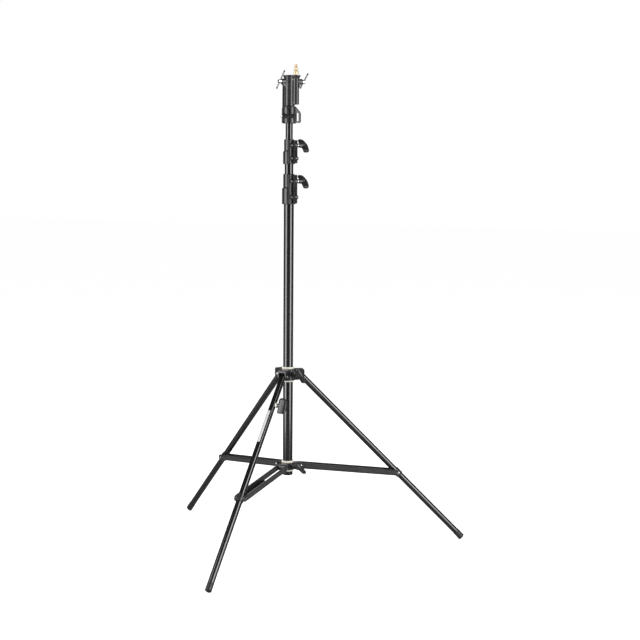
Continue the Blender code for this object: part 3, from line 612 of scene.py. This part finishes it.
def leg(name):
    """A leg's tube with its bracket and foot, in its hinge's frame: down the leg is local -Z."""
    place = at(HINGES[name], LEG_SPINS[name] @ Matrix.Rotation(-LEG_SPREAD, 4, "Y"))
    sole = (place @ Vector((0, 0, -LEG_LENGTH))).xy.to_3d()
    ground = moved(block((-0.3, -0.3, -0.3), (0.3, 0.3, 0)), at(sole))
    ground = moved(ground, place.inverted())
    levelling = name == "levelling"
    cutters = [rod((0, -0.0200, 0), (0, 0.0200, 0), HOLE_R)]
    if levelling:
        start, reach = LEVEL_KNOB_S - 0.0055, LEVEL_KNOB_S + LEVEL_TRAVEL + 0.0055
        half, arc = 0.0035, 0.0034
        slot = [(-half, -reach, arc), (half, -reach, arc), (half, -start, arc), (-half, -start, arc)]
        cutters.append(plate(slot, 0.0050, 0.0150, True))
    end = LEVEL_TUBE_END if levelling else LEG_END
    stand_in(f"{name}_leg_tube", cut(tube(LEG_R, LEG_BORE, end, LEG_TOP, 0.0004, 72), *cutters), place)

    sleeve = lathe([(0, -0.0130), (0.0135, -0.0130, 0.001), (0.0135, 0.0130, 0.001), (0, 0.0130)], 48)
    shells = [sleeve, rod((0, -0.0146, 0), (0, 0.0146, 0), 0.0090)]
    holes = [rod((0, 0, -0.02), (0, 0, 0.02), LEG_R + GAP, 72), rod((0, -0.02, 0), (0, 0.02, 0), HOLE_R)]
    bracket = cast(shells, holes, 0.0006, 4, 0.4)
    stand_in(f"{name}_leg_brace_bracket", bracket, place @ at((0, 0, -BRACE_JOIN)))
    if not levelling:
        stand_in(f"{name}_foot", foot(0.8220, -LEG_END + GAP, FOOT_R, LEG_R + GAP, ground), place)
        return
    inner = tube(INNER_R, INNER_BORE, INNER_END, INNER_TOP, 0.0003, 48)
    stud_hole = rod((0, 0.004, -LEVEL_KNOB_S), (0, 0.015, -LEVEL_KNOB_S), HOLE_R)
    stand_in("levelling_inner_tube", cut(inner, stud_hole), place)
    shoe = foot(-LEVEL_TUBE_END + GAP, -INNER_END + GAP, LEG_R + 0.0002, INNER_R + GAP, ground)
    stand_in("levelling_foot", shoe, place)
    washer = tube(0.0095, HOLE_R, 0, LEVEL_SEAT - GAP - LEG_R - GAP, 0.0006)
    knob_place = place @ at((0, 0, -LEVEL_KNOB_S), aim((0, 1, 0)))
    stand_in("levelling_washer", washer, knob_place @ at((0, 0, LEG_R + GAP)))
    wing_knob("levelling_knob", knob_place @ at((0, 0, LEVEL_SEAT), spin(radians(22))), 0.0218,
              LEVEL_SEAT - 0.0065, 0.0275, 0.0145, 0.0080, 0.0030)
    leg_label(place)


def leg_label(place):
    """A blank film label, stuck along the front of the levelling leg."""
    first, last, top, length = radians(-34), radians(16), -0.1560, 0.1300
    inner, outer = LEG_R + 0.00005, LEG_R + 0.00030
    turns = [first + (last - first) * i / 20 for i in range(21)]
    outline = [heading(t, outer) for t in turns] + [heading(t, inner) for t in reversed(turns)]
    levels = (top - length, top - 0.6 * length, top - 0.3 * length, top)
    sections = [[(p.x, p.y, z) for p in outline] for z in levels]
    show("levelling_leg_label", loft(sections), "label", place, "levelling_leg")


def brace(name):
    """A pair of flat bars with the rivets in their outer ends, joined by a web."""
    outer = Vector((PIVOT_R + BRACE_JOIN * sin(LEG_SPREAD), 0, UPPER_HUB.z - BRACE_JOIN * cos(LEG_SPREAD)))
    run = outer - Vector((PIVOT_R, 0, LOWER_HUB.z))
    length = run.length
    place = at(BRACE_HINGES[name], LEG_SPINS[name] @ Matrix.Rotation(asin(-run.z / length), 4, "Y"))
    ends = [radians(-90 + 7.5 * i) for i in range(25)]
    outline = [(length + BAR_HALF * cos(t), BAR_HALF * sin(t)) for t in ends]
    outline += [(-BAR_HALF * cos(t), -BAR_HALF * sin(t)) for t in ends]
    holes = [rod((x, -0.0300, 0), (x, 0.0300, 0), HOLE_R) for x in (0, length)]
    head = BAR_OUTER_Y + GAP
    rivet_profile = [(0, 0.0151), (STUD_R, 0.0151), (STUD_R, head), (0.0050, head, 0.0002),
                     (0.0050, head + 0.0004, 0.0004), (0.0026, head + 0.0013, 0.0010), (0, head + 0.0013)]
    for side, way in (("a", 1), ("b", -1)):
        edges = sorted((way * BAR_INNER_Y, way * BAR_OUTER_Y))
        bar = cut(bevelled(plate(outline, *edges), 0.0005), *[hole.copy() for hole in holes])
        stand_in(f"{name}_brace_bar_{side}", bar, place)
        rivet = moved(lathe(rivet_profile, 40), aim((0, way, 0)))
        stand_in(f"{name}_brace_rivet_{side}", rivet, place @ at((length, 0, 0)))
    brace_web(name, place, length)


def brace_web(name, place, length):
    """A web between the lower edges of a brace's bars, with a notch in each end."""
    first, last, half = 0.36 * length, length - 0.0320, BAR_INNER_Y
    notch, side, arc = 0.0100, 0.006, 0.006
    outline = [(first, -half), (last, -half), (last - notch, -side, arc), (last - notch, side, arc),
               (last, half), (first, half), (first + notch, side, arc), (first + notch, -side, arc)]
    web = bevelled(prism(outline, -0.0098, -0.0082), 0.0004)
    show(f"{name}_brace_web", web, "brace_black", place, BODY_OF[f"{name}_brace_bar_a"])


# ---- head --------------------------------------------------------------------------------------

HEAD_TOP, SPIGOT_X, SOCKET_R, SPIGOT_R = 0.1660, 0.0245, 0.0180, 0.0110
HEAD_CLAMP_SPIN, HEAD_CLAMP_X, HEAD_CLAMP_Z = spin(radians(-65)), 0.0170, 0.0245
T_Z, T_ROD_R, T_HEAD_R, T_HEAD_LENGTH = 0.1440, 0.0050, 0.0065, 0.0114
T_BAR_R, T_BALL_R, T_BAR_HALF = 0.0023, 0.00325, 0.0385
T_SCREWS = {
    "socket_t": {"x": 0.0, "angle": 231.5, "end": 0.0320, "tip": 0.0146, "turn": -45, "shift": 0.008},
    "spigot_t": {"x": SPIGOT_X, "angle": 45, "end": 0.0230, "tip": 0.0086, "turn": 56, "shift": 0.004},
}


def head_casting():
    """The socket tube, spigot tube, riser clamp and cable loop, in one casting."""
    shells = [
        lathe([(0, 0), (0.0240, 0, 0.0010), (0.0240, 0.0530), (0.0255, 0.0545, 0.001),
               (0.0255, 0.0580, 0.001), (SOCKET_R, 0.0600, 0.0006), (SOCKET_R, 0.1520, 0.004),
               (0.0220, 0.1640, 0.001), (0.0220, HEAD_TOP, 0.0006), (0, HEAD_TOP)], 96),
        moved(lathe([(0, 0.0650), (SPIGOT_R, 0.0650, 0.001), (SPIGOT_R, 0.1530, 0.003),
                     (0.0165, 0.1636, 0.001), (0.0165, HEAD_TOP - 0.0004, 0.0006),
                     (0, HEAD_TOP - 0.0004)], 72), at((SPIGOT_X, 0, 0))),
        block((0.0080, -0.0055, 0.0620), (0.0200, 0.0055, 0.1560)),
        moved(block((0.0150, -0.0040, 0.0020), (0.0262, 0.0040, 0.0520)), spin(radians(193))),
        moved(block((0.0150, -0.0035, 0.0570), (0.0245, 0.0035, 0.1350)), spin(radians(208))),
        plate([(0.0180, 0.0015), (0.0400, 0.0015, 0.002), (0.0430, 0.0045, 0.002), (0.0430, 0.0370, 0.006),
               (0.0262, 0.0565, 0.004), (0.0180, 0.0565)], -0.0030, 0.0030, True),
        moved(rod((HEAD_CLAMP_X, -0.0250, HEAD_CLAMP_Z), (HEAD_CLAMP_X, 0.0185, HEAD_CLAMP_Z), 0.0085),
              HEAD_CLAMP_SPIN),
    ]
    for sizes, wall in ((T_SCREWS["socket_t"], SOCKET_R), (T_SCREWS["spigot_t"], SPIGOT_R)):
        turn = at((sizes["x"], 0, 0), spin(radians(sizes["angle"])))
        end = sizes["end"]
        root, face = wall - 0.0040, end - 0.0010
        shells.append(moved(rod((root, 0, T_Z), (end, 0, T_Z), 0.0095), turn))
        gusset = [(root, T_Z), (face, T_Z), (face, T_Z - 0.0070), (root, T_Z - 0.026)]
        shells.append(moved(plate(gusset, -0.0060, 0.0060), turn))

    above = HEAD_TOP + 0.0010
    floor = 0.0820
    cutters = [
        lathe([(0, floor), (0.0145, floor), (0.0145, HEAD_TOP - 0.0014), (0.0160, above), (0, above)], 96),
        lathe([(0, -0.0010), (RISER_2_R + GAP, -0.0010), (RISER_2_R + GAP, 0.0503), (0, 0.0503)], 96),
        moved(lathe([(0, 0.0600), (0.0083, 0.0600), (0.0083, HEAD_TOP - 0.0014), (0.0097, above),
                     (0, above)], 72), at((SPIGOT_X, 0, 0))),
        bevelled(plate([(0.0273, 0.0078, 0.002), (0.0362, 0.0078, 0.002), (0.0362, 0.0338, 0.002),
                        (0.0273, 0.0378, 0.002)], -0.0060, 0.0060, True), 0.0002),
        moved(rod((HEAD_CLAMP_X, -0.0300, HEAD_CLAMP_Z), (HEAD_CLAMP_X, 0.0160, HEAD_CLAMP_Z), HOLE_R),
              HEAD_CLAMP_SPIN),
        moved(block((0.0080, -0.0012, -0.0010), (0.0300, 0.0012, 0.0495)), HEAD_CLAMP_SPIN),
    ]
    for sizes in T_SCREWS.values():
        turn = at((sizes["x"], 0, 0), spin(radians(sizes["angle"])))
        cutters.append(moved(rod((0.0020, 0, T_Z), (0.0400, 0, T_Z), T_ROD_R + GAP), turn))
    stand_in("head_casting", cast(shells, cutters, 0.00075, 5, 0.35), at(HEAD))
    dome = lathe([(0, -0.0013), (0.0022, -0.0013), (0.0022, 0.0006, 0.0004), (0.0014, 0.0014, 0.0006),
                  (0, 0.0015)], 24)
    for name, finish, height, front in (("head_web_pin", "brass", 0.1495, -0.0100),
                                        ("head_web_screw", "fastener_steel", 0.0710, -0.0086)):
        where = HEAD + Vector((0.0172, front, height))
        show(name, dome.copy(), finish, at(where, aim((0.3, -1, 0))), BODY_OF["head_casting"])
    cap_screw("head_pinch_bolt", at(HEAD, HEAD_CLAMP_SPIN), -0.0250 - GAP, 0.0155, HEAD_CLAMP_X, HEAD_CLAMP_Z)


def t_handle(name, sizes):
    """A plated screw with a loose cross bar that ends in two dark balls."""
    start = sizes["end"] + GAP
    bar_z = start + T_HEAD_LENGTH / 2
    origin = HEAD + Vector((sizes["x"], 0, T_Z))
    place = at(origin, aim(heading(radians(sizes["angle"]))) @ spin(radians(sizes["turn"])))
    threads = []
    z = sizes["tip"] + 0.0016
    while z < start - 0.0012:
        threads += [(T_ROD_R, z), (T_ROD_R - 0.0005, z + 0.0004), (T_ROD_R, z + 0.0008)]
        z += 0.0010
    profile = [(0, sizes["tip"]), (0.0040, sizes["tip"]), (T_ROD_R - 0.0004, sizes["tip"] + 0.0010), *threads,
               (T_ROD_R, start), (T_HEAD_R, start, 0.0006), (T_HEAD_R, start + T_HEAD_LENGTH, 0.0016),
               (0, start + T_HEAD_LENGTH + 0.0002)]
    hole = rod((-0.0100, 0, bar_z), (0.0100, 0, bar_z), T_BAR_R + 0.0002)
    stand_in(f"{name}_screw", cut(lathe(profile, 48), hole), place)
    bar_place = place @ at((sizes["shift"], 0, bar_z), aim((1, 0, 0)))
    inset = T_BAR_HALF - 0.0020
    bar = lathe([(0, -inset), (T_BAR_R, -inset), (T_BAR_R, inset), (0, inset)], 32)
    stand_in(f"{name}_bar", bar, bar_place)
    for side, way in (("low", -1), ("high", 1)):
        arc = [(T_BALL_R * sin(t), way * (T_BAR_HALF - T_BALL_R * cos(t))) for t in
               (radians(45 + 9 * i) for i in range(15))]
        ball = lathe([(0, way * (T_BAR_HALF - 0.0028)), *arc, (0, way * (T_BAR_HALF + T_BALL_R))], 32)
        show(f"{name}_bar_ball_{side}", ball, "ball_end", bar_place, BODY_OF[f"{name}_bar"])


def spigot():
    """The brass stud with its neck and its threaded tip."""
    low, waist = 0.0700, 0.1800
    threads = []
    for i in range(8):
        z = waist + 0.0128 + 0.00115 * i
        threads += [(0.0048, z), (0.0043, z + 0.0003), (0.0043, z + 0.0006), (0.0048, z + 0.0009)]
    profile = [(0, low), (0.0070, low), (0.0080, low + 0.0010), (0.0080, waist, 0.0006),
               (0.0066, waist + 0.0014, 0.0006), (0.0066, waist + 0.0030, 0.0006),
               (0.0076, waist + 0.0044, 0.0006),
               (0.0076, waist + 0.0105, 0.0006), (0.0048, waist + 0.0120), *threads, (0.0048, waist + 0.0222),
               (0.0040, waist + 0.0230), (0, waist + 0.0230)]
    stand_in("spigot", lathe(profile, 64), at(HEAD + Vector((SPIGOT_X, 0, 0))))


# ---- stage -------------------------------------------------------------------------------------

CAMERA_AZIMUTH = radians(22.93)


def camera():
    """A long lens, a little above the stand's middle, turned slightly off its axis."""
    distance, height = 4.908, 1.326
    pitch, yaw, roll = radians(-5.97), radians(1.31), radians(0.41)
    a = CAMERA_AZIMUTH
    ahead, across = Vector((-sin(a), cos(a), 0)), Vector((cos(a), sin(a), 0))
    ahead, across = cos(yaw) * ahead + sin(yaw) * across, cos(yaw) * across - sin(yaw) * ahead
    view, upward = cos(pitch) * ahead + sin(pitch) * UP, cos(pitch) * UP - sin(pitch) * ahead
    right, top = cos(roll) * across + sin(roll) * upward, cos(roll) * upward - sin(roll) * across
    lens = bpy.data.cameras.new("camera")
    lens.sensor_width = 36
    lens.lens = 78.4
    made = bpy.data.objects.new("camera", lens)
    bpy.context.scene.collection.objects.link(made)
    made.matrix_world = Matrix((right, top, -view)).transposed().to_4x4()
    made.location = COLUMN + Vector((distance * sin(a), -distance * cos(a), height))
    bpy.context.scene.camera = made


def softbox(name, turn, distance, height, size, power, tilt=0.0):
    """An area light at an angle from the camera's side (positive is to its right), aimed at the stand."""
    light = bpy.data.lights.new(name, "AREA")
    light.shape = "RECTANGLE"
    light.size, light.size_y = size
    light.energy = power
    made = bpy.data.objects.new(name, light)
    bpy.context.scene.collection.objects.link(made)
    a = CAMERA_AZIMUTH + radians(turn)
    place = COLUMN + Vector((distance * sin(a), -distance * cos(a), height))
    target = COLUMN + UP * (height - tilt)
    back = (place - target).normalized()
    side = UP.cross(back).normalized()
    made.matrix_world = Matrix((side, back.cross(side), back)).transposed().to_4x4()
    made.location = place
    made.visible_camera = False


def white_world():
    """Even white light, kept dim in reflections."""
    world = bpy.data.worlds.new("studio")
    bpy.context.scene.world = world
    world.use_nodes = True
    nodes, links = world.node_tree.nodes, world.node_tree.links
    background = nodes["Background"]
    background.inputs["Color"].default_value = (1, 1, 1, 1)
    rays = nodes.new("ShaderNodeLightPath")
    dimmed = nodes.new("ShaderNodeMapRange")
    for socket, number in zip(("From Min", "From Max", "To Min", "To Max"), (0, 1, 1.0, 0.03)):
        dimmed.inputs[socket].default_value = number
    links.new(rays.outputs["Is Glossy Ray"], dimmed.inputs["Value"])
    links.new(dimmed.outputs["Result"], background.inputs["Strength"])


def white_floor():
    """A sheet of white paper that glossy surfaces see as dark."""
    floor = bpy.data.meshes.new("floor")
    shape = bmesh.new()
    bmesh.ops.create_grid(shape, x_segments=4, y_segments=4, size=30)
    shape.to_mesh(floor)
    shape.free()
    paper = bpy.data.materials.new("paper")
    paper.use_nodes = True
    nodes, links = paper.node_tree.nodes, paper.node_tree.links
    shader = nodes["Principled BSDF"]
    shader.inputs["Roughness"].default_value = 0.9
    shader.inputs["Specular IOR Level"].default_value = 0.0
    fibre = nodes.new("ShaderNodeTexNoise")
    fibre.inputs["Scale"].default_value = 300
    tone = nodes.new("ShaderNodeMixRGB")
    tone.inputs["Color1"].default_value = (0.90, 0.90, 0.90, 1)
    tone.inputs["Color2"].default_value = (0.94, 0.94, 0.94, 1)
    links.new(fibre.outputs["Fac"], tone.inputs["Fac"])
    links.new(tone.outputs["Color"], shader.inputs["Base Color"])
    shader.inputs["Emission Color"].default_value = (1, 1, 1, 1)
    shader.inputs["Emission Strength"].default_value = 0.07
    dark = nodes.new("ShaderNodeBsdfDiffuse")
    dark.inputs["Color"].default_value = (0.15, 0.15, 0.15, 1)
    rays, seen = nodes.new("ShaderNodeLightPath"), nodes.new("ShaderNodeMixShader")
    links.new(rays.outputs["Is Glossy Ray"], seen.inputs["Fac"])
    links.new(shader.outputs["BSDF"], seen.inputs[1])
    links.new(dark.outputs["BSDF"], seen.inputs[2])
    links.new(seen.outputs["Shader"], nodes["Material Output"].inputs["Surface"])
    floor.materials.append(paper)
    ground = bpy.data.objects.new("floor", floor)
    ground.location.z = -0.0005
    bpy.context.scene.collection.objects.link(ground)


def studio():
    """A white sweep with soft light from both sides and from behind."""
    white_world()
    white_floor()
    bpy.context.scene.view_settings.view_transform = "Standard"
    softbox("left_strip", -60, 2.2, 1.4, (1.5, 3.6), 75)
    softbox("right_strip", 54, 2.4, 1.4, (1.3, 3.6), 75)
    softbox("back_top", 180, 2.6, 2.4, (3.0, 1.4), 28, 1.2)


def build():
    """All the pieces, then the camera and the studio."""
    column_tubes()
    cap_and_bushes()
    collar("lower_collar", 1.2785, (0.0240, 0.0200), (BASE_R, RISER_1_R), 1.3007, 1.2456)
    collar("upper_collar", 1.4065, (0.0210, 0.0175), (RISER_1_R, RISER_2_R), 1.4252, 1.3804)
    hubs()
    for name in HINGES:
        leg(name)
        brace(name)
    head_casting()
    for name, sizes in T_SCREWS.items():
        t_handle(name, sizes)
    spigot()
    camera()
    studio()


build()
